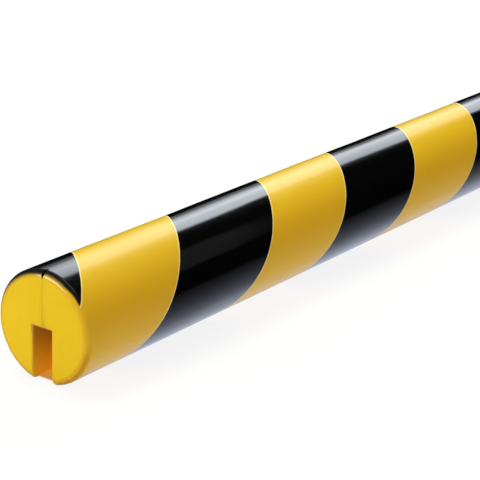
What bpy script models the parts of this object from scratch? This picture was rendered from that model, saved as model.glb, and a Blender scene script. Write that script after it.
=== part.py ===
"""Edge protection profile: a round foam bar with a push-on slot and a spiral hazard stripe.

Lengths are in metres, X runs along the bar and Z is up. The bar stands on the two lips of its
slot, and the origin is below its middle, on the surface that it stands on. The near end, the one
with the nick in its rim, is at -X.

The foam skin is laid out flat first, as a sheet whose x is the place along the bar and whose y
counts the points of the bar's outline. A spiral on the bar is a straight line on that sheet, so
the stripe is cut there with straight cuts, and then the sheet is rolled up round the outline.
"""

import math

import bmesh
import bpy

# Bar
bar_length = 0.500
bar_diameter = 0.040
end_rim_radius = 0.0025

# Slot, its depth counted from the surface that the lips stand on
slot_width = 0.008
slot_depth = 0.0194
lip_radius = 0.001
slot_rim_radius = 0.0006

# Stripe: one black band that winds round the bar once for each pitch
stripe_pitch = 0.104
black_width = 0.052
first_black_end = 0.016

# Seam across each end face, and the nick where it meets the near rim
seam_width = 0.0005
seam_depth = 0.0004
nick_width = 0.0022
nick_depth = 0.0026
nick_length = 0.0034

# Fineness of the round stretches
outer_steps = 72
lip_steps = 4
rim_steps = 5

# How far a cutter reaches past the surface that it cuts
cutter_reach = 0.002

# What follows from the sizes above
radius = bar_diameter / 2
half_length = bar_length / 2
half_slot = slot_width / 2
lip_offset = half_slot + lip_radius
axis_height = lip_radius + math.sqrt((radius - lip_radius) ** 2 - lip_offset**2)
top_height = axis_height + radius
spiral_rise = stripe_pitch / math.tau
first_outer_row = lip_steps + 1


def circle_point(centre_y, centre_z, size, angle):
    """A point on a circle, its angle counted from straight up towards -Y."""
    return centre_y - size * math.sin(angle), centre_z + size * math.cos(angle)


def lip_angle(inset, flare):
    """The angle at which the outer circle, set in by inset, runs into the lip's small round."""
    return math.pi - math.asin((lip_offset + flare) / (radius - inset - lip_radius))


def outline(inset, flare):
    """The (y, z) points round the section, its circle set in by inset and its slot by flare.

    They run from the slot's roof down its +Y wall, round the lip, over the outer circle to the
    other lip and up the -Y wall, and the roof itself closes the ring.
    """
    outer = radius - inset
    wall = half_slot + flare
    roof = slot_depth + flare
    last = lip_angle(inset, flare)
    lip_y = wall + lip_radius
    lip_z = axis_height - math.sqrt((outer - lip_radius) ** 2 - lip_y**2)
    turn = 1.5 * math.pi - last
    points = [(wall, roof)]
    for step in range(lip_steps, 0, -1):
        points.append(circle_point(lip_y, lip_z, lip_radius, -last - turn * step / lip_steps))
    for step in range(outer_steps + 1):
        angle = last * (2 * step / outer_steps - 1)
        points.append(circle_point(0, axis_height, outer, angle))
    for step in range(1, lip_steps + 1):
        points.append(circle_point(-lip_y, lip_z, lip_radius, last + turn * step / lip_steps))
    points.append((-wall, roof))
    return points


def rim_inset(x, rim):
    """How far a quarter round of the size rim sets the section in at x."""
    from_end = half_length - abs(x)
    if from_end >= rim:
        return 0.0
    return rim - math.sqrt(max(rim**2 - (rim - from_end) ** 2, 0))


def stations():
    """The x of each column of the sheet: close together over the rims, then one long stretch."""
    near = []
    for step in range(rim_steps + 1):
        angle = math.pi / 2 * step / rim_steps
        near.append(-half_length + end_rim_radius * (1 - math.cos(angle)))
    return near + [-x for x in reversed(near)]


def flat_sheet(rows):
    """A bmesh grid with a column for each station and a row for each outline point."""
    mesh = bmesh.new()
    columns = [[mesh.verts.new((x, row, 0)) for row in range(rows + 1)] for x in stations()]
    for left, right in zip(columns, columns[1:]):
        for row in range(rows):
            mesh.faces.new((left[row], right[row], right[row + 1], left[row + 1]))
    return mesh


def angle_of_row(row):
    """The angle round the bar of a row of the sheet, over its outer circle."""
    return lip_angle(0, 0) * (2 * (row - first_outer_row) / outer_steps - 1)


def is_printed(face):
    """The stripe is only on the outer circle: the lips and the slot stay plain yellow."""
    return first_outer_row < face.calc_center_median().y < first_outer_row + outer_steps


def cut_stripe_edges(sheet):
    """Cuts the sheet along both edges of the band, at every turn that touches the bar."""
    turns = math.ceil(bar_length / stripe_pitch) + 1
    slope = spiral_rise * 2 * lip_angle(0, 0) / outer_steps
    for turn in range(-1, turns + 1):
        for edge in (0, stripe_pitch - black_width):
            x_on_top = first_black_end - half_length + turn * stripe_pitch + edge
            faces = [face for face in sheet.faces if is_printed(face)]
            edges = {edge for face in faces for edge in face.edges}
            corners = {corner for face in faces for corner in face.verts}
            bmesh.ops.bisect_plane(
                sheet,
                geom=faces + list(edges) + list(corners),
                dist=1e-6,
                plane_co=(x_on_top, first_outer_row + outer_steps / 2, 0),
                plane_no=(1, slope, 0),
            )


def paint_stripe(sheet):
    """Gives each face of the black band the second material."""
    for face in sheet.faces:
        centre = face.calc_center_median()
        along = centre.x + half_length - first_black_end + spiral_rise * angle_of_row(centre.y)
        is_black = along % stripe_pitch > stripe_pitch - black_width
        face.material_index = int(is_black and is_printed(face))


def roll_up(sheet):
    """Carries each point of the sheet to its place on the bar, closes the roll and its ends."""
    for corner in sheet.verts:
        inset = rim_inset(corner.co.x, end_rim_radius)
        section = outline(inset, rim_inset(corner.co.x, slot_rim_radius))
        row = min(int(corner.co.y), len(section) - 1)
        share = corner.co.y - row
        start, end = section[row], section[(row + 1) % len(section)]
        y = start[0] + share * (end[0] - start[0])
        z = start[1] + share * (end[1] - start[1])
        corner.co = (corner.co.x, y, z)
    bmesh.ops.remove_doubles(sheet, verts=sheet.verts, dist=1e-6)
    # A face beside the stripe has cut points in a row on one side, so it becomes triangles.
    beside = [face for face in sheet.faces if len(face.verts) > 4]
    bmesh.ops.triangulate(sheet, faces=beside)
    bmesh.ops.holes_fill(sheet, edges=[edge for edge in sheet.edges if edge.is_boundary])
    bmesh.ops.recalc_face_normals(sheet, faces=sheet.faces)


def plain_material(name, colour, roughness):
    material = bpy.data.materials.new(name)
    material.use_nodes = True
    shader = material.node_tree.nodes["Principled BSDF"]
    shader.inputs["Base Color"].default_value = (*colour, 1)
    shader.inputs["Roughness"].default_value = roughness
    material.diffuse_color = (*colour, 1)
    return material


def foam_profile():
    """The bar itself, one moulding: round outside, slotted below, striped all along."""
    sheet = flat_sheet(len(outline(0, 0)))
    cut_stripe_edges(sheet)
    paint_stripe(sheet)
    roll_up(sheet)
    mesh = bpy.data.meshes.new("profile")
    sheet.to_mesh(mesh)
    sheet.free()
    mesh.materials.append(plain_material("yellow_foam", (0.80, 0.48, 0.02), 0.45))
    mesh.materials.append(plain_material("black_stripe", (0.006, 0.006, 0.008), 0.35))
    mesh.shade_smooth()
    mesh.set_sharp_from_angle(angle=math.radians(35))
    profile = bpy.data.objects.new("profile", mesh)
    bpy.context.collection.objects.link(profile)
    return profile


def cut_away(body, name, points):
    """Cuts the convex solid of these points out of the body."""
    hull = bmesh.new()
    for point in points:
        hull.verts.new(point)
    bmesh.ops.convex_hull(hull, input=hull.verts)
    bmesh.ops.recalc_face_normals(hull, faces=hull.faces)
    mesh = bpy.data.meshes.new(name)
    hull.to_mesh(mesh)
    hull.free()
    cutter = bpy.data.objects.new(name, mesh)
    cutter.hide_render = True
    cutter.display_type = "WIRE"
    bpy.context.collection.objects.link(cutter)
    cut = body.modifiers.new(name, "BOOLEAN")
    cut.operation = "DIFFERENCE"
    cut.object = cutter


def seam_points(end):
    """A thin V groove across the end face, from the slot's roof to the top. end is -1 or 1."""
    spread = seam_width / 2 * (1 + cutter_reach / seam_depth)
    points = []
    for z in (slot_depth - cutter_reach, top_height + cutter_reach):
        points.append((end * (half_length - seam_depth), 0, z))
        points.append((end * (half_length + cutter_reach), spread, z))
        points.append((end * (half_length + cutter_reach), -spread, z))
    return points


def nick_points():
    """A V notch in the near rim's top, deepest at the end and running out along the bar."""
    points = []
    ceiling = top_height + cutter_reach
    for along in (-cutter_reach, nick_length):
        floor = top_height - nick_depth * (1 - along / nick_length)
        spread = nick_width / 2 * (ceiling - floor) / nick_depth
        x = along - half_length
        points += [(x, 0, floor), (x, spread, ceiling), (x, -spread, ceiling)]
    return points


def main():
    for item in list(bpy.data.objects):
        bpy.data.objects.remove(item, do_unlink=True)
    profile = foam_profile()
    cut_away(profile, "near_seam", seam_points(-1))
    cut_away(profile, "far_seam", seam_points(1))
    cut_away(profile, "near_nick", nick_points())


main()
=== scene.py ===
# %% [markdown]
# A round foam edge profile with a hazard stripe. The real bar is moulded in one piece: soft foam
# inside, a thin closed skin outside, a slot that pushes onto a plate's edge, and one black band
# printed round it as a spiral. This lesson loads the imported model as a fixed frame, works the bar
# out again as one smooth surface, gives it its skin, print and end faces, and lights it as a
# plain studio would.

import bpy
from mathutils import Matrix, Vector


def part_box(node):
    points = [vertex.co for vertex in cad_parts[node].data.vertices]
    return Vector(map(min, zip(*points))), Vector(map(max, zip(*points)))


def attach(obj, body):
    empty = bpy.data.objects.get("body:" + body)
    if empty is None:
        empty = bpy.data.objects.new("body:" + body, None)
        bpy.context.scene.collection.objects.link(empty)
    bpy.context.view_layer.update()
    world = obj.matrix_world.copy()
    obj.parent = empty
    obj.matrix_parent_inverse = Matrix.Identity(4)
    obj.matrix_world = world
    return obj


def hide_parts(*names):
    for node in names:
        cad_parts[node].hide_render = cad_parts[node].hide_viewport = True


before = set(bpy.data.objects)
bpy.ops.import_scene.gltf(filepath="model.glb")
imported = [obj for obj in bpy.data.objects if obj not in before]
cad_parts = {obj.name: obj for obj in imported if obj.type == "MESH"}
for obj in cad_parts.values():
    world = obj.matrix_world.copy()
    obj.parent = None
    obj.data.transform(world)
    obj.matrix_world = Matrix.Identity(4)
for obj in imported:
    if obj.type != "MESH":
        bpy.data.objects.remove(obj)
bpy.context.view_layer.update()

import math

import bmesh
import bpy
import numpy as np
from mathutils import Matrix, Vector

# %% [markdown]
# The sizes come from the frame where it can say them, and are named here where it can't. The bar
# lies along X on its two slot lips, so its round axis is a little less than half its width up.
# The CAD solid has flat facets that lie just inside the true circle, so the radius is given as
# the real one.

# %% Sizes
low, high = (Vector(corner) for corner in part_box("profile"))
near_x = low.x
far_x = high.x
bar_length = far_x - near_x

bar_radius = 0.020
slot_width = 0.008
slot_depth = 0.0194
lip_radius = 0.001
corner_radius = 0.0004
rim_radius = 0.0025
slot_rim_radius = 0.0006

stripe_pitch = 0.104
first_black_end = 0.016
spiral_rise = stripe_pitch / math.tau

half_slot = slot_width / 2
axis_height = lip_radius + math.sqrt((bar_radius - lip_radius) ** 2 - (half_slot + lip_radius) ** 2)
print(f"bar {bar_length * 1000:.1f} mm long, its axis {axis_height * 1000:.2f} mm up")

# %% [markdown]
# A section of the bar is a ring made of two paths with the same number of points. The outer path
# goes round one lip, over the circle and round the other lip. The inner path goes up one wall of
# the slot, across its roof and down the other wall. Both start and end at the same two points, so
# the end face can later be ruled straight across from one path to the other. The steps on the
# circle are finest at the top, where the seam and the nick need them.

# %% Paths of a section
lip_steps = 8
circle_steps = 136
wall_steps = 50
corner_steps = 4
roof_steps = 44
path_steps = circle_steps + 2 * lip_steps
top_fineness = 0.25


def arc(centre_y, centre_z, size, angles):
    """Points at centre + size * (-sin angle, cos angle): angles count from straight up to -Y."""
    return np.stack([centre_y - size * np.sin(angles), centre_z + size * np.cos(angles)], -1)


def blend_line(start, end, steps):
    """Points at start + share * (end - start) for even shares from 0 to 1."""
    share = np.linspace(0, 1, steps + 1)[:, None]
    return start[..., None, :] * (1 - share) + end[..., None, :] * share


def outer_path(inset, flare):
    """One row of (y, z) for each pair: +Y lip, circle and -Y lip of a section.

    The circle is set in by inset and the slot is wider by flare on each side. The lip's circle
    touches the wall and the outer circle from inside, so its centre is one lip radius from both,
    and the two circles meet on the line through their centres.
    """
    outer = bar_radius - np.asarray(inset)[:, None]
    lip_y = half_slot + np.asarray(flare)[:, None] + lip_radius
    lip_z = axis_height - np.sqrt((outer - lip_radius) ** 2 - lip_y**2)
    meet = math.pi - np.arcsin(lip_y / (outer - lip_radius))
    even = np.linspace(-1, 1, circle_steps + 1)
    graded = top_fineness * even + (1 - top_fineness) * even**3
    circle = arc(0 * outer, axis_height, outer, meet * graded)
    turn = (1.5 * math.pi - meet) * np.linspace(1, 0, lip_steps, endpoint=False)
    start_lip = arc(lip_y, lip_z, lip_radius, -meet - turn)
    end_lip = arc(-lip_y, lip_z, lip_radius, meet + turn[:, ::-1])
    return np.concatenate([start_lip, circle, end_lip], axis=1)


def inner_path(inset, flare):
    """One row of (y, z) for each pair: up the +Y wall, over the roof and down the -Y wall.

    Where wall and roof meet, a quarter circle of the corner radius fills the corner.
    """
    wall = half_slot + np.asarray(flare)
    roof = slot_depth + np.asarray(flare)
    foot = outer_path(inset, flare)[:, 0, 1]
    shoulder = roof - corner_radius
    quarter = np.linspace(0, math.pi / 2, corner_steps + 1)[1:-1]
    rising = blend_line(np.stack([wall, foot], -1), np.stack([wall, shoulder], -1), wall_steps)
    inner = (wall - corner_radius)[:, None]
    bend_y = inner + corner_radius * np.cos(quarter)
    bend_z = shoulder[:, None] + corner_radius * np.sin(quarter)
    bend = np.stack([bend_y, bend_z], -1)
    over = blend_line(
        np.stack([wall - corner_radius, roof], -1),
        np.stack([corner_radius - wall, roof], -1),
        roof_steps,
    )
    mirrored = np.array([-1, 1])
    falling = [(bend * mirrored)[:, ::-1], (rising * mirrored)[:, ::-1]]
    return np.concatenate([rising, bend, over, *falling], axis=1)


print("points on a path:", outer_path([0], [0]).shape[1], "and", inner_path([0], [0]).shape[1])

# %% [markdown]
# The sections stand at stations along the bar. They are close together over the rounded rims at
# the ends, spread out over the first centimetres and are then evenly spaced.

# %% Stations
rim_steps = 16
spread_steps = 20
spread_end = 0.020
even_step = 0.0025


def station_distances():
    """Distances from an end: a quarter circle's, then growing by a constant factor."""
    quarter = np.linspace(0, math.pi / 2, rim_steps + 1)
    over_rim = rim_radius * (1 - np.cos(quarter))
    return np.concatenate([over_rim, np.geomspace(rim_radius, spread_end, spread_steps)[1:]])


def station_places():
    """The x of every station: from one end, an even stretch, and up to the other end."""
    ends = station_distances()
    count = round((bar_length - 2 * spread_end) / even_step)
    middle = np.linspace(near_x + spread_end, far_x - spread_end, count + 1)
    return np.concatenate([near_x + ends, middle[1:-1], (far_x - ends)[::-1]])


def end_distance(x):
    """The distance from x to the nearer end of the bar."""
    return np.minimum(x - near_x, far_x - x)


def rim_inset(x, rim):
    """How far the section is set in at x: what a quarter circle leaves at that distance."""
    from_end = np.minimum(end_distance(x), rim)
    return rim - np.sqrt(rim**2 - (rim - from_end) ** 2)


stations = station_places()
print("stations:", len(stations), "closest", f"{np.diff(stations).min() * 1000:.3f} mm apart")

# %% [markdown]
# A moulded skin is never quite true, so a few long, very low waves run over it: they are too
# small to see as a shape, but they make the reflections live. The nick in the near rim is a small
# V that runs out along the bar.

# %% Waves and nick
wave_height = 0.00004
nick_width = 0.0022
nick_depth = 0.0026
nick_length = 0.0034

# Each wave's length along the bar, its turns round it, its start and its share of the height
wave_kinds = ((0.147, 2, 0.6, 1.0), (0.063, -3, 2.1, 0.6), (0.031, 5, 4.4, 0.3))


def waves(x, angle):
    """The waves added up, each a sine of a place along the bar and an angle round it."""
    swell = 0
    for length, turns, start, share in wave_kinds:
        swell = swell + share * np.sin(x * math.tau / length + turns * angle + start)
    return wave_height * swell


def nick_floor(x, y):
    """The height of the V's walls: its bottom falls from the top of the skin towards the end, and
    its walls rise from there by the same depth over half the width."""
    along = 1 - (x - near_x) / nick_length
    aside = np.abs(y) / (nick_width / 2)
    return axis_height + bar_radius - nick_depth * (along - aside)


def near_nick(x, z):
    """Whether a point is above the bar's axis and within the nick's length from the near end."""
    return (x < near_x + nick_length) & (z > axis_height)


def nick(x, y, z):
    """How far the V is below the skin, which is 0 beside it."""
    return np.where(near_nick(x, z), np.clip(z - nick_floor(x, y), 0, nick_depth), 0)


print(f"waves up to {wave_height * sum(kind[3] for kind in wave_kinds) * 1000:.3f} mm high")

# %% [markdown]
# The skin is a grid: one row for each station, one column for each point of the ring. The end
# faces are grids too, ruled from the slot's path to the outer path. Down the middle of each end
# face runs the seam where the foam met in the mould: a wide, shallow valley with a fine groove at
# its bottom.

# %% Surfaces of the bar
face_steps = 24
dome_height = 0.00028
valley_width = 0.0014
valley_depth = 0.00012
groove_width = 0.00034
groove_depth = 0.00012


def angle_round(y, z):
    """The angle of a point round the bar's axis, counted from straight up to -Y."""
    return np.arctan2(-y, z - axis_height)


def skin_grid():
    """Points (station, ring, 3): the outer path forwards and the inner path back again."""
    x = stations[:, None]
    inset = rim_inset(stations, rim_radius)
    flare = rim_inset(stations, slot_rim_radius)
    outer = outer_path(inset, flare)
    angle = angle_round(outer[..., 0], outer[..., 1])
    swell = waves(x, angle) * np.clip(end_distance(x) / spread_end, 0, 1)
    swell[:, : 2 * lip_steps] = 0
    swell[:, -2 * lip_steps :] = 0
    outer[..., 0] -= swell * np.sin(angle)
    outer[..., 1] += swell * np.cos(angle)
    outer[..., 1] -= nick(x, outer[..., 0], outer[..., 1])
    inner = inner_path(inset, flare)
    ring = np.concatenate([outer, inner[:, -2:0:-1]], axis=1)
    places = np.broadcast_to(x[..., None], ring.shape[:2] + (1,))
    return np.concatenate([places, ring], axis=2)


def seam_dip(y, z):
    """How far the end face dips at the seam: two bell curves of y, above the slot only."""
    dip = valley_depth * np.exp(-((y / valley_width) ** 2))
    dip += groove_depth * np.exp(-((y / groove_width) ** 2))
    return dip * np.clip((z - slot_depth) / rim_radius, 0, 1)


def end_face_grid(section, x, inwards):
    """Points (share, path, 3) of an end face: share * outer + (1 - share) * inner.

    The face is also domed, by a parabola of the distance from the axis that is 0 at the rim, and
    dips at the seam. inwards is 1 at the near end and -1 at the far one.
    """
    outer = section[: path_steps + 1, 1:]
    inner = section[np.r_[0, 2 * path_steps - 1 : path_steps - 1 : -1], 1:]
    share = np.linspace(0, 1, face_steps + 1)[:, None, None]
    flat = inner * (1 - share) + outer * share
    distance = np.hypot(flat[..., 0], flat[..., 1] - axis_height) / (bar_radius - rim_radius)
    dome = dome_height * np.clip(1 - distance**2, 0, 1)
    dip = seam_dip(flat[..., 0], flat[..., 1])
    inside = np.minimum(share[..., 0], 1 - share[..., 0]) > 0
    places = x + inwards * (dip - dome) * inside
    return np.concatenate([places[..., None], flat], axis=2)


skin = skin_grid()
near_face = end_face_grid(skin[0], near_x, 1)
far_face = end_face_grid(skin[-1], far_x, -1)
print("skin grid", skin.shape, "end face grid", near_face.shape)

# %% [markdown]
# Three values go with the points. The first, spiral, counts turns of the stripe and is nearly a
# straight function of the place along the bar and the angle round it, just as a spiral is a
# straight line on an unrolled tube. The second, ink, is 1 where the print can reach and 0 on lips,
# slot and end faces, and it fades over the rims. The third, rim, goes from 0 on the skin to 1
# where the rounded rim meets the end face. The print reaches further over the rim behind the seam
# than in front of it, and it runs down into the nick.

# %% Values for the print
ink_turn_behind = math.radians(70)
ink_turn_below = math.radians(42)
ink_turn_front = math.radians(55)
ink_turn_tip = math.radians(44)
ink_fade = math.radians(42)
ink_fade_tip = math.radians(18)
touching = 1e-6

# Angles round the bar, in radians, over which the print's reach and its fade change
below_to_behind = (-2.0, -0.5)
behind_to_front = (-0.12, 0.10)
front_to_tip = (0.45, 0.75)
fade_to_tip = (0.35, 0.65)

# How far each stripe edge lies from its even place, in metres: on average, which starts at the
# count drift_start, and by the sine of the angle from lean_zero, in radians
drift_along = (0.0001, -0.0005, 0.0028, 0.0001, -0.0001, 0.0004)
drift_lean = (-0.0003, -0.0002, 0.0006, 0.0011, 0.0011, 0.0010)
drift_start = -0.4
lean_zero = 0.8


def smooth_step(value, low, high):
    """0 below low, 1 above high and the cubic 3 * share**2 - 2 * share**3 between them."""
    share = np.clip((value - low) / (high - low), 0, 1)
    return share**2 * (3 - 2 * share)


def smooth_change(value, start_and_end, first, last):
    """first before the start, last after the end, and a smooth step from one to the other."""
    return first + (last - first) * smooth_step(value, *start_and_end)


def rim_turn(x):
    """The angle that the rounded rim has turned by at x: the arcsine of 1 - distance from the
    end / rim radius, which is 0 on the skin and a right angle at the end."""
    return np.arcsin(np.clip(1 - end_distance(x) / rim_radius, 0, 1))


def spiral_count(x, angle):
    """Turns of the stripe since the first black stretch ended: yellow first, then black.

    The print isn't quite even: each edge lies a little further along by its drift, which changes
    with the sine of the angle by its lean. Between two edges both run straight from one to the
    other.
    """
    even = (x - near_x - first_black_end + spiral_rise * angle) / stripe_pitch
    edges = np.arange(len(drift_along)) / 2
    drift = np.interp(even, edges, drift_along) * (even > drift_start)
    lean = np.interp(even, edges, drift_lean)
    return even - (drift + lean * np.sin(angle - lean_zero)) / stripe_pitch


def ink_turn(angle):
    """How far the print reaches over the rim, as the angle that the rim has turned by there."""
    behind = smooth_change(angle, below_to_behind, ink_turn_below, ink_turn_behind)
    front = smooth_change(angle, front_to_tip, ink_turn_front, ink_turn_tip)
    return smooth_change(angle, behind_to_front, behind, front)


def ink_cover(grid):
    """1 on the outer circle, fading to 0 over the rounded rims, and 0 on lips and slot.

    The print is at half strength at the ink turn, and the fade takes up the ink fade's angle.
    """
    angle = angle_round(grid[..., 1], grid[..., 2])
    half_fade = smooth_change(angle, fade_to_tip, ink_fade, ink_fade_tip) / 2
    fade = smooth_step((ink_turn(angle) - rim_turn(grid[..., 0])) / half_fade, -1, 1)
    ring = np.arange(grid.shape[1])
    printed = (ring >= lip_steps) & (ring <= lip_steps + circle_steps)
    return fade * printed


def in_nick(grid):
    """1 on the walls of the nick, which are as black as the print round them, and 0 elsewhere."""
    x, y, z = grid[..., 0], grid[..., 1], grid[..., 2]
    on_wall = near_nick(x, z) & (np.abs(z - nick_floor(x, y)) < touching)
    return on_wall.astype(float)


ink = np.maximum(ink_cover(skin), in_nick(skin))
print(f"share of the skin's points that the print can reach: {ink.mean() * 100:.0f} %")

# %% [markdown]
# A grid becomes quads by joining each point with its neighbours. The skin and both end faces then
# become one closed mesh, as the real bar is one piece, with one material slot for the skin and
# one for the cut ends. The piece stands for the CAD's profile, and it is soft foam.

# %% One mesh
weld_distance = 1e-7
shortest_edge = 1e-8
sharp_angle = math.radians(38)


def grid_quads(rows, columns, first, closed):
    """Corner numbers of every quad of a rows by columns grid whose points start at first."""
    row = np.arange(rows - 1)[:, None]
    column = np.arange(columns if closed else columns - 1)[None, :]
    beside = (column + 1) % columns
    corners = [
        row * columns + column,
        row * columns + beside,
        (row + 1) * columns + beside,
        (row + 1) * columns + column,
    ]
    return first + np.stack(corners, -1).reshape(-1, 4)


def add_value(mesh, name, values):
    """Stores one number for each point of the mesh under this name."""
    mesh.attributes.new(name, "FLOAT", "POINT").data.foreach_set("value", values)


def bar_mesh():
    """The skin and both end faces as one mesh, with its three values and two material slots."""
    grids = [skin, near_face, far_face]
    firsts = np.cumsum([0] + [grid.shape[0] * grid.shape[1] for grid in grids])
    quads = [
        grid_quads(*skin.shape[:2], firsts[0], True)[:, ::-1],
        grid_quads(*near_face.shape[:2], firsts[1], False)[:, ::-1],
        grid_quads(*far_face.shape[:2], firsts[2], False),
    ]
    points = np.concatenate([grid.reshape(-1, 3) for grid in grids])
    mesh = bpy.data.meshes.new("foam_bar")
    mesh.from_pydata(points, [], np.concatenate(quads))
    x, y, z = points.T
    add_value(mesh, "spiral", spiral_count(x, angle_round(y, z)))
    add_value(mesh, "ink", np.concatenate([ink.reshape(-1), np.zeros(len(points) - ink.size)]))
    add_value(mesh, "rim", rim_turn(x) / (math.pi / 2))
    slots = np.repeat([0, 1, 1], [len(part) for part in quads])
    mesh.polygons.foreach_set("material_index", slots)
    return mesh


def weld(mesh):
    """Joins the grids where they meet, so that the bar is one closed surface facing out."""
    body = bmesh.new()
    body.from_mesh(mesh)
    bmesh.ops.remove_doubles(body, verts=body.verts, dist=weld_distance)
    bmesh.ops.dissolve_degenerate(body, edges=body.edges, dist=shortest_edge)
    bmesh.ops.recalc_face_normals(body, faces=body.faces)
    open_edges = sum(len(edge.link_faces) != 2 for edge in body.edges)
    print("open edges:", open_edges, "volume in litres:", round(body.calc_volume() * 1000, 4))
    body.to_mesh(mesh)
    body.free()


mesh = bar_mesh()
weld(mesh)
mesh.shade_smooth()
mesh.set_sharp_from_angle(angle=sharp_angle)
foam_bar = bpy.data.objects.new("foam_bar", mesh)
bpy.context.collection.objects.link(foam_bar)
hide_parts("profile")
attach(foam_bar, "root")
print("triangles:", sum(len(face.vertices) - 2 for face in mesh.polygons))

# %% [markdown]
# The materials are built from nodes. These helpers keep that short: each adds one or a few nodes
# to a tree and gives back a socket, which the next one can take in place of a number.

# %% Helpers for nodes


def add_node(tree, kind, **settings):
    """Adds a node of this kind to the tree and sets its properties."""
    node = tree.nodes.new(kind)
    for name, value in settings.items():
        setattr(node, name, value)
    return node


def feed(socket, value):
    """Links a value that is a socket, and sets any other as this socket's own value."""
    if isinstance(value, bpy.types.NodeSocket):
        socket.id_data.links.new(value, socket)
    else:
        socket.default_value = value


def set_inputs(node, **values):
    """Feeds input sockets by name, with _ for a space."""
    for name, value in values.items():
        feed(node.inputs[name.replace("_", " ")], value)
    return node


def calculate(tree, operation, *values):
    """One Math node on numbers or sockets."""
    node = add_node(tree, "ShaderNodeMath", operation=operation)
    for socket, value in zip(node.inputs, values):
        feed(socket, value)
    return node.outputs[0]


def multiply(tree, *values):
    """All the values times each other."""
    product = values[0]
    for value in values[1:]:
        product = calculate(tree, "MULTIPLY", product, value)
    return product


def noise(tree, vector, scale, detail=3.0, roughness=0.5):
    """A Noise Texture's value, around 0.5. The scale is in waves for each metre."""
    node = add_node(tree, "ShaderNodeTexNoise")
    set_inputs(node, Vector=vector, Scale=scale, Detail=detail, Roughness=roughness)
    return node.outputs["Fac"]


def ramp(tree, value, low, high, out_low=0.0, out_high=1.0):
    """A smooth step from out_low to out_high as value goes from low to high."""
    node = add_node(tree, "ShaderNodeMapRange", interpolation_type="SMOOTHSTEP")
    set_inputs(node, Value=value, From_Min=low, From_Max=high, To_Min=out_low, To_Max=out_high)
    return node.outputs["Result"]


def mix_colour(tree, share, first, second):
    """The colour first where share is 0 and second where it is 1."""
    node = add_node(tree, "ShaderNodeMix", data_type="RGBA")
    for place, value in ((0, share), (6, first), (7, second)):
        feed(node.inputs[place], value)
    return node.outputs[2]


def mix_value(tree, share, first, second):
    """The number first where share is 0 and second where it is 1."""
    node = add_node(tree, "ShaderNodeMix", data_type="FLOAT")
    for place, value in ((0, share), (2, first), (3, second)):
        feed(node.inputs[place], value)
    return node.outputs[0]


def mix_shaders(tree, share, first, second):
    """A node that is the first shader node where share is 0 and the second where it is 1."""
    node = add_node(tree, "ShaderNodeMixShader")
    for socket, value in zip(node.inputs, (share, first.outputs[0], second.outputs[0])):
        feed(socket, value)
    return node


def scaled_colour(tree, colour, factor):
    """The colour times a factor that changes over the surface."""
    node = add_node(tree, "ShaderNodeVectorMath", operation="SCALE")
    feed(node.inputs[0], colour if isinstance(colour, bpy.types.NodeSocket) else colour[:3])
    feed(node.inputs["Scale"], factor)
    return node.outputs[0]


def stretched(tree, vector, scale):
    """The place with each of its three numbers times its own scale, for drawn-out patterns."""
    node = add_node(tree, "ShaderNodeMapping")
    return set_inputs(node, Vector=vector, Scale=scale).outputs["Vector"]


def separate(tree, vector):
    """The place's three numbers, as sockets named X, Y and Z."""
    node = add_node(tree, "ShaderNodeSeparateXYZ")
    feed(node.inputs[0], vector)
    return node.outputs


def attribute(tree, name):
    """One of the values that were stored with the mesh's points."""
    return add_node(tree, "ShaderNodeAttribute", attribute_name=name).outputs["Fac"]


def light_path(tree):
    """Sockets that tell a ray of the camera from one of a reflection or of plain light."""
    return add_node(tree, "ShaderNodeLightPath").outputs


print("helpers are ready")

# %% [markdown]
# Both finishes of the bar, the closed skin and the cut end, are the same foam, so they share one
# effect: a soft unevenness of tone in large and small patches, and a fine relief. It is a node
# group with named sockets, and each material sets its own scales and amounts.

# %% The foam's shared unevenness
patch_detail = 2.0
grain_detail = 4.0
grain_roughness = 0.6


def foam_unevenness():
    """A node group: Vector, Patch Scale, Grain Scale and amounts in; Tone and Height out."""
    group = bpy.data.node_groups.new("foam_unevenness", "ShaderNodeTree")
    face = group.interface
    face.new_socket("Vector", in_out="INPUT", socket_type="NodeSocketVector")
    for name, value in (
        ("Patch Scale", 25.0),
        ("Grain Scale", 600.0),
        ("Patch Amount", 0.05),
        ("Grain Amount", 0.03),
    ):
        face.new_socket(name, in_out="INPUT", socket_type="NodeSocketFloat").default_value = value
    face.new_socket("Tone", in_out="OUTPUT", socket_type="NodeSocketFloat")
    face.new_socket("Height", in_out="OUTPUT", socket_type="NodeSocketFloat")
    given = add_node(group, "NodeGroupInput").outputs
    patches = noise(group, given["Vector"], given["Patch Scale"], patch_detail)
    grain = noise(group, given["Vector"], given["Grain Scale"], grain_detail, grain_roughness)
    patch_tone = multiply(group, calculate(group, "SUBTRACT", patches, 0.5), given["Patch Amount"])
    grain_tone = multiply(group, calculate(group, "SUBTRACT", grain, 0.5), given["Grain Amount"])
    tone = calculate(group, "ADD", calculate(group, "ADD", patch_tone, grain_tone), 1.0)
    set_inputs(add_node(group, "NodeGroupOutput"), Tone=tone, Height=grain)
    return group


def use_unevenness(tree, **values):
    """The shared effect on Object coordinates, with this material's values."""
    node = add_node(tree, "ShaderNodeGroup", node_tree=unevenness)
    place = add_node(tree, "ShaderNodeTexCoord").outputs["Object"]
    set_inputs(node, Vector=place, **values)
    return node.outputs["Tone"], node.outputs["Height"], place


def new_material(name):
    """A material with an empty Principled BSDF; returns it, its tree and its shader."""
    material = bpy.data.materials.new(name)
    material.use_nodes = True
    return material, material.node_tree, material.node_tree.nodes["Principled BSDF"]


unevenness = foam_unevenness()
print("shared effect:", unevenness.name)
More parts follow.
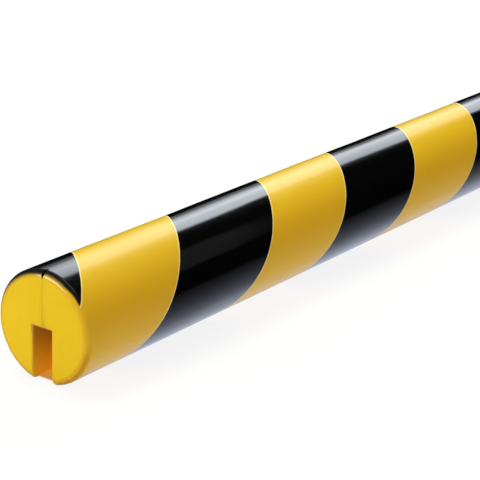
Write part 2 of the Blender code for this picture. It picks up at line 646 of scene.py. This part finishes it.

# %% [markdown]
# The skin's colour comes first. Where the sine of the spiral count is above 0 the skin stays
# yellow, and below 0 it is black. Next to an edge the sine times the pitch over a full turn is
# the distance to the edge in metres, so the print gets a soft 0.1 mm edge, and the yellow beside
# it a thin pale line. Low down on the rounded rims the yellow gets a painted shade of deeper
# amber, and the slot's walls get a painted brown shade towards the roof.

# %% Skin colour
yellow = (0.80, 0.496, 0.015, 1)
pale_yellow = (0.95, 0.86, 0.50, 1)
# Painted shade in the slot, deepest at its roof
slot_shade_brown = (0.52, 0.26, 0.045, 1)
# Painted shade low down on the rounded rims
rim_shade_amber = (0.64, 0.34, 0.010, 1)
ink_black = (0.0020, 0.0020, 0.0026, 1)

ink_edge = 0.00012
ink_waver = 0.004
waver_scale = 160.0
pale_line = 0.0007
pale_strength = 0.85

# Where a mask goes from 0 to 1: in metres, or for the rim in shares of its quarter turn
slot_wall = (half_slot + 0.0004, half_slot + 0.0002)
slot_inside = (slot_depth + 0.0016, slot_depth + 0.0008)
slot_rise = (0.004, slot_depth)
rim_shade_begins = (0.10, 0.42)
rim_shade_ends = (0.80, 0.55)
rim_shade_low = (0.0200, 0.0120)
rim_shade_beside = (half_slot + 0.0008, half_slot + 0.003)


def print_masks(tree, place):
    """Two masks: 1 where the black print is, and 1 on the pale line beside it."""
    uneven = calculate(tree, "SUBTRACT", noise(tree, place, waver_scale), 0.5)
    count = calculate(tree, "ADD", attribute(tree, "spiral"), multiply(tree, uneven, ink_waver))
    wave = calculate(tree, "SINE", multiply(tree, count, math.tau))
    distance = multiply(tree, wave, stripe_pitch / math.tau)
    cover = attribute(tree, "ink")
    printed = multiply(tree, ramp(tree, distance, ink_edge, -ink_edge), cover)
    bare = calculate(tree, "SUBTRACT", cover, printed)
    return printed, multiply(tree, ramp(tree, distance, pale_line, pale_line / 2), bare)


def slot_shade_mask(tree, split):
    """From 0 at the slot's mouth to 1 at its roof, and 0 outside the slot: how much painted brown
    shade the slot's walls get.
    """
    aside = calculate(tree, "ABSOLUTE", split["Y"])
    within = multiply(tree, ramp(tree, aside, *slot_wall), ramp(tree, split["Z"], *slot_inside))
    return multiply(tree, within, ramp(tree, split["Z"], *slot_rise))


def rim_shade_mask(tree, split, rim):
    """1 on the middle of the rounded rims, on the bar's lower half and away from the slot: where
    the yellow gets its painted amber shade.
    """
    aside = calculate(tree, "ABSOLUTE", split["Y"])
    on_rim = multiply(tree, ramp(tree, rim, *rim_shade_begins), ramp(tree, rim, *rim_shade_ends))
    low_down = ramp(tree, split["Z"], *rim_shade_low)
    return multiply(tree, on_rim, low_down, ramp(tree, aside, *rim_shade_beside))


def skin_colour(tree, split, rim, tone, printed, beside):
    """The foam's yellow with its painted amber and brown shade, then the pale line and the print
    over them.
    """
    foam = mix_colour(tree, rim_shade_mask(tree, split, rim), yellow, rim_shade_amber)
    foam = scaled_colour(tree, mix_colour(tree, slot_shade_mask(tree, split), foam, slot_shade_brown), tone)
    edged = mix_colour(tree, multiply(tree, beside, pale_strength), foam, pale_yellow)
    return mix_colour(tree, printed, edged, ink_black)


print("skin colours:", yellow[:3], ink_black[:3])

# %% [markdown]
# The skin's gloss follows the print. The foam is satin, with a thin coat that shows more where
# the surface is seen edge on. The print has a lacquer over it, glossier than the foam: in the
# shader that is a coat whose weight follows the ink. The lacquer is a little worn in streaks
# along the bar and towards the near end. Where the print turns over the rim it has no lacquer and
# is matt, and the trimmed edge of the rim next to the end face is smooth again.

# %% Skin material
foam_rough = 0.36
lacquer_rough = 0.12
bare_ink_rougher = 0.40
satin_coat = 0.20
edge_on_coat = 0.50
lacquer_coat = 0.85
trimmed_coat = 0.70
coat_rough = 0.11
coat_ior = 1.6
foam_specular = 0.3
edge_on = (0.60, 0.95)

streak_scale = 420.0
streak_stretch = (0.02, 1.0, 1.0)
streak_height = 1.4
print_height = 0.8
skin_relief = 0.00002

# Where a mask goes from its first value to its last, and those two values
lacquer_stops = (0.20, 0.04)
bare_ink_starts = (0.04, 0.20)
trimmed_rim = (0.45, 0.75, 0.0, trimmed_coat)
worn_at_end = (near_x + 0.004, near_x + 0.030, 0.72, 1.0)
worn_in_streaks = (0.35, 0.60, 0.86, 1.0)


def whole_lacquer(tree, split, rim, streaks):
    """1 where the lacquer is whole, less where it is worn, and 0 on the rims."""
    at_end = ramp(tree, split["X"], *worn_at_end)
    worn = multiply(tree, at_end, ramp(tree, streaks, *worn_in_streaks))
    return multiply(tree, ramp(tree, rim, *lacquer_stops), worn)


def skin_material():
    """The closed skin: satin yellow foam with lacquered black print."""
    material, tree, shader = new_material("printed_skin")
    tone, height, place = use_unevenness(
        tree, Patch_Scale=22.0, Grain_Scale=900.0, Patch_Amount=0.07, Grain_Amount=0.03
    )
    split = separate(tree, place)
    rim = attribute(tree, "rim")
    printed, beside = print_masks(tree, place)
    streaks = noise(tree, stretched(tree, place, streak_stretch), streak_scale, detail=2.0)
    glossy = multiply(tree, printed, whole_lacquer(tree, split, rim, streaks))
    matt = multiply(tree, printed, ramp(tree, rim, *bare_ink_starts))
    rough = calculate(tree, "MULTIPLY_ADD", glossy, lacquer_rough - foam_rough, foam_rough)
    rough = calculate(tree, "MULTIPLY_ADD", matt, bare_ink_rougher, rough)
    facing = add_node(tree, "ShaderNodeLayerWeight").outputs["Facing"]
    satin = mix_value(tree, matt, ramp(tree, facing, *edge_on, satin_coat, edge_on_coat), 0.0)
    coat = mix_value(tree, glossy, satin, lacquer_coat)
    coat = calculate(tree, "MAXIMUM", coat, ramp(tree, rim, *trimmed_rim))
    relief = calculate(tree, "MULTIPLY_ADD", printed, print_height, height)
    relief = calculate(tree, "MULTIPLY_ADD", streaks, streak_height, relief)
    bump = add_node(tree, "ShaderNodeBump")
    set_inputs(bump, Strength=1.0, Distance=skin_relief, Height=relief)
    set_inputs(
        shader,
        Base_Color=skin_colour(tree, split, rim, tone, printed, beside),
        Roughness=rough,
        Specular_IOR_Level=foam_specular,
        Coat_Weight=coat,
        Coat_Roughness=coat_rough,
        Coat_IOR=coat_ior,
        Normal=bump.outputs["Normal"],
    )
    return material


mesh.materials.append(skin_material())
print("first material:", mesh.materials[0].name)

# %% [markdown]
# The end face is where the foam was cut to length: the same yellow, a touch more lemon, matt, with
# the fine open cells of the foam, whose pits get a painted darker shade, and the faint drag marks
# of the knife. Along the seam the face gets a painted shade, with a sharp side and a soft one.

# %% End face material
face_yellow = (0.80, 0.555, 0.014, 1)
# Painted shade in the pits of the open cells
cell_shade_yellow = (0.62, 0.38, 0.012, 1)
cell_scale = 2600.0
cell_edge = (0.28, 0.12)
cell_shade_strength = 0.25
drag_scale = 700.0
drag_stretch = (1.0, 1.0, 0.12)
drag_tone = 0.06
face_rough = 0.6
grain_rougher = 0.2
face_specular = 0.15
face_relief = 0.00004
seam_sharp = 0.0005
seam_soft = 0.0030
seam_above = (slot_depth - 0.0002, slot_depth + 0.0002)
seam_dark = (slot_depth + 0.009, slot_depth + 0.001, 0.09, 0.22)


def seam_shade(tree, place):
    """How much painted shade the seam puts on the face: most at the slot's roof, and not at
    all below it.
    """
    split = separate(tree, place)
    sides = (ramp(tree, split["Y"], seam_sharp, 0.0), ramp(tree, split["Y"], -seam_soft, 0.0))
    above = ramp(tree, split["Z"], *seam_above)
    return multiply(tree, *sides, above, ramp(tree, split["Z"], *seam_dark))


def end_face_material():
    """The cut foam of both ends: matt, with open cells whose pits have painted shade, drag marks
    and the seam's painted shade.
    """
    material, tree, shader = new_material("cut_foam")
    tone, height, place = use_unevenness(
        tree, Patch_Scale=90.0, Grain_Scale=2200.0, Patch_Amount=0.05, Grain_Amount=0.06
    )
    drag = noise(tree, stretched(tree, place, drag_stretch), drag_scale)
    cells = add_node(tree, "ShaderNodeTexVoronoi", feature="F1")
    set_inputs(cells, Vector=place, Scale=cell_scale)
    pits = ramp(tree, cells.outputs["Distance"], *cell_edge)
    level = calculate(tree, "SUBTRACT", tone, drag_tone / 2)
    streaked = calculate(tree, "MULTIPLY_ADD", drag, drag_tone, level)
    light = calculate(tree, "SUBTRACT", 1.0, seam_shade(tree, place))
    foam = scaled_colour(tree, face_yellow, multiply(tree, streaked, light))
    relief = calculate(tree, "SUBTRACT", calculate(tree, "ADD", height, drag), pits)
    bump = add_node(tree, "ShaderNodeBump")
    set_inputs(bump, Strength=1.0, Distance=face_relief, Height=relief)
    set_inputs(
        shader,
        Base_Color=mix_colour(tree, multiply(tree, pits, cell_shade_strength), foam, cell_shade_yellow),
        Roughness=calculate(tree, "MULTIPLY_ADD", height, grain_rougher, face_rough),
        Specular_IOR_Level=face_specular,
        Normal=bump.outputs["Normal"],
    )
    return material


mesh.materials.append(end_face_material())
print("materials:", [material.name for material in mesh.materials])

# %% [markdown]
# The floor is pale and plain: white paper that the lamps light, and that glows a little. To the
# camera most of it is glow, so that it is white and keeps the bar's soft shadow. For the light on
# the bar the glow is a pool that is brightest next to the bar, which is what lights the bar's
# lower side and shows in its gloss. Between the lips of the slot the floor glows orange, as light
# does that has gone from wall to wall in there. From below the floor is clear, so that the slot
# can be looked into.

# %% Floor
floor_half = 4.0
paper_white = (0.86, 0.86, 0.86, 1)

# The pool of glow: its level, how it falls off, its tints, where it ends, and the share of it
# that lights the bar, which is larger next to the bar
glow_level = 0.78
glow_start = 0.019
glow_fall = 1.6
glow_tint = (0.62, 0.76, 1, 1)
mirrored_tint = (0.77, 0.83, 1, 1)
glow_aside = (0.135, 0.09)
glow_along = (far_x + 0.004, far_x - 0.012)
lighting_share = (0.060, 0.020, 0.58, 0.899)

# What the camera sees: the glow's level and tint, and the share of glow in what it sees
seen_level = 0.885
seen_tint = (0.984, 0.984, 1, 1)
seen_share = 0.85

# The strip of floor between the lips: where it ends, its glow, and how much the camera sees of
# it from the middle of the bar to its ends
slot_aside = (half_slot + 0.0022, half_slot + 0.0012)
slot_along = (far_x - 0.0028, far_x - 0.0042)
slot_glow = 1.15
slot_seen = (0.150, 0.246, 0.18, 0.60)
slot_tint = (1, 0.40, 0.07, 1)


def floor_glow(tree, path, aside, along, between):
    """The floor's glow: an Emission node with its level and tint for every kind of ray."""
    reach = calculate(tree, "DIVIDE", glow_start, calculate(tree, "MAXIMUM", aside, glow_start))
    pool = multiply(tree, calculate(tree, "POWER", reach, glow_fall), glow_level)
    pool = multiply(tree, pool, ramp(tree, aside, *glow_aside), ramp(tree, along, *glow_along))
    kept = mix_value(tree, path["Is Glossy Ray"], ramp(tree, aside, *lighting_share), 1.0)
    level = mix_value(tree, path["Is Camera Ray"], multiply(tree, pool, kept), seen_level)
    slot_level = mix_value(tree, path["Is Camera Ray"], slot_glow, ramp(tree, along, *slot_seen))
    tint = mix_colour(tree, path["Is Glossy Ray"], glow_tint, mirrored_tint)
    tint = mix_colour(tree, path["Is Camera Ray"], tint, seen_tint)
    return set_inputs(
        add_node(tree, "ShaderNodeEmission"),
        Color=mix_colour(tree, between, tint, slot_tint),
        Strength=mix_value(tree, between, level, slot_level),
    )


def floor_material():
    """Paper and glow above, nothing below."""
    material = bpy.data.materials.new("white_floor")
    material.use_nodes = True
    tree = material.node_tree
    tree.nodes.clear()
    split = separate(tree, add_node(tree, "ShaderNodeTexCoord").outputs["Object"])
    aside = calculate(tree, "ABSOLUTE", split["Y"])
    along = calculate(tree, "ABSOLUTE", split["X"])
    between = multiply(tree, ramp(tree, aside, *slot_aside), ramp(tree, along, *slot_along))
    path = light_path(tree)
    glow = floor_glow(tree, path, aside, along, between)
    paper = set_inputs(add_node(tree, "ShaderNodeBsdfDiffuse"), Color=paper_white)
    both = add_node(tree, "ShaderNodeAddShader")
    feed(both.inputs[0], paper.outputs[0])
    feed(both.inputs[1], glow.outputs[0])
    share = mix_value(tree, path["Is Camera Ray"], path["Is Glossy Ray"], seen_share)
    lit = mix_shaders(tree, mix_value(tree, between, share, 1.0), both, glow)
    from_below = add_node(tree, "ShaderNodeNewGeometry").outputs["Backfacing"]
    sided = mix_shaders(tree, from_below, lit, add_node(tree, "ShaderNodeBsdfTransparent"))
    feed(add_node(tree, "ShaderNodeOutputMaterial").inputs["Surface"], sided.outputs[0])
    return material


def floor_object():
    """A square of floor at the height that the bar stands on."""
    sheet = bpy.data.meshes.new("floor")
    corners = floor_half * np.array([(-1, -1, 0), (1, -1, 0), (1, 1, 0), (-1, 1, 0)])
    sheet.from_pydata(corners, [], [(0, 1, 2, 3)])
    sheet.materials.append(floor_material())
    floor = bpy.data.objects.new("floor", sheet)
    bpy.context.collection.objects.link(floor)
    return floor


floor = floor_object()
print("floor:", floor.name, "with", floor.data.materials[0].name)

# %% [markdown]
# Soft boxes light the bar. A long strip box hangs behind and above it, parallel to it, and draws
# the pale band along its top: it is made of four panels over each other, so that it is brightest
# in its middle, and its core is shorter. Two dim cards in front give the faint second band on the
# first full black stripe. Two boxes above give the top its lemon light. The greener one, sky_box,
# doesn't show in gloss, where the pale sky_gleam stands in for it. end_box, on the side of the
# near end, lights the end face.

# %% Lamps
strip_distance = 0.60
strip_start_x = 0.25
strip_tint = (0.87, 0.93, 1.0)
card_tint = (0.95, 1.0, 1.0)
card_place = (-0.42, 0.462)
card_width = 0.22
sky_place = (-0.1, 0.45, 1.1)
sky_size = (1.2, 0.6)
over_near_half = (-0.1, 0, 0)


def soft_box(name, place, aim, size, radiance, colour):
    """A rectangular lamp whose surface has this radiance: its power is radiance * pi * area."""
    data = bpy.data.lights.new(name, "AREA")
    data.shape = "RECTANGLE"
    data.size, data.size_y = size
    data.energy = radiance * math.pi * size[0] * size[1]
    data.color = colour
    lamp = bpy.data.objects.new(name, data)
    lamp.location = place
    lamp.rotation_euler = (Vector(aim) - Vector(place)).to_track_quat("-Z", "Y").to_euler()
    lamp.visible_camera = False
    bpy.context.collection.objects.link(lamp)
    return lamp


def strip_panel(name, low, high, end_x, radiance):
    """One panel of the strip box: seen from the bar it fills the angles from low to high, counted
    in degrees up from +Y, and along the bar it goes from the strip's start to end_x."""
    turn = math.radians((low + high) / 2)
    height = 2 * strip_distance * math.tan(math.radians(high - low) / 2)
    length = end_x - strip_start_x
    x = strip_start_x + length / 2
    place = (x, strip_distance * math.cos(turn), axis_height + strip_distance * math.sin(turn))
    soft_box(name, place, (x, 0, axis_height), (length, height), radiance, strip_tint)


# Each panel's name, the angles between which it lies, its end along the bar and its radiance
for panel in (
    ("strip_halo", 16, 72.5, 1.25, 0.32),
    ("strip_wide", 27, 72.5, 1.25, 0.94),
    ("strip_middle", 33, 71.2, 1.25, 0.95),
    ("strip_core", 41, 69.5, 0.71, 0.90),
):
    strip_panel(*panel)
# Each dim card's name, its place along the bar, its height and its radiance
for name, x, card_height, radiance in (
    ("dim_card", 0.48, 0.42, 0.09),
    ("dim_card_core", 0.46, 0.28, 0.10),
):
    size = (card_width, card_height)
    soft_box(name, (x, *card_place), (x, 0, axis_height), size, radiance, card_tint)
soft_box("top_box", (-0.1, -0.1, 1.2), over_near_half, (1.2, 0.8), 1.5, (0.9, 1.0, 0.8))
sky_box = soft_box("sky_box", sky_place, over_near_half, sky_size, 5.9, (0.74, 1.0, 0.61))
sky_box.visible_glossy = False
sky_gleam = soft_box("sky_gleam", sky_place, over_near_half, sky_size, 3.0, (0.98, 1.0, 1.0))
sky_gleam.visible_diffuse = False
soft_box("end_box", (-1.39, 0.756, 0.36), (-0.25, 0, 0.02), (0.62, 0.70), 5.7, (1.0, 1.0, 0.9))
print("lamps:", [lamp.name for lamp in bpy.data.lights])

# %% [markdown]
# The room round the bar is dim and warm, and it doesn't show in gloss. The camera sees white
# beyond the floor.

# %% World
room_tint = (1.0, 0.50, 0.40, 1)
room_level = 0.355


def studio_world():
    """A warm room for plain light, nothing for gloss and white for the camera."""
    world = bpy.data.worlds.new("studio")
    world.use_nodes = True
    tree = world.node_tree
    tree.nodes.clear()
    path = light_path(tree)
    level = mix_value(tree, path["Is Glossy Ray"], room_level, 0.0)
    room = set_inputs(add_node(tree, "ShaderNodeBackground"), Color=room_tint, Strength=level)
    white = set_inputs(add_node(tree, "ShaderNodeBackground"), Color=(1, 1, 1, 1), Strength=1.0)
    mixed = mix_shaders(tree, path["Is Camera Ray"], room, white)
    feed(add_node(tree, "ShaderNodeOutputWorld").inputs["Surface"], mixed.outputs[0])
    return world


bpy.context.scene.world = studio_world()
bpy.context.scene.view_settings.view_transform = "Standard"
print("world:", bpy.context.scene.world.name)

# %% [markdown]
# The camera stands low at the near end and looks along the bar, with a long lens and a slight
# roll. Its place is counted from the middle of the near end face.

# %% Camera
camera_from_end = Vector((-0.3923, -0.3571, 0.2225))
camera_looks = Vector((0.76684, 0.54565, -0.33796))
camera_roll = math.radians(2.13)
camera_lens = 131.1


def add_camera():
    """The scene's camera, turned to its view first and rolled about it last."""
    data = bpy.data.cameras.new("camera")
    data.lens = camera_lens
    data.clip_start = 0.01
    camera = bpy.data.objects.new("camera", data)
    camera.rotation_mode = "QUATERNION"
    turn = camera_looks.to_track_quat("-Z", "Y").to_matrix().to_4x4()
    spot = Matrix.Translation(Vector((near_x, 0, axis_height)) + camera_from_end)
    camera.matrix_world = spot @ turn @ Matrix.Rotation(camera_roll, 4, "Z")
    bpy.context.collection.objects.link(camera)
    bpy.context.scene.camera = camera
    return camera


camera = add_camera()
print("camera at", [round(value, 3) for value in camera.matrix_world.translation])
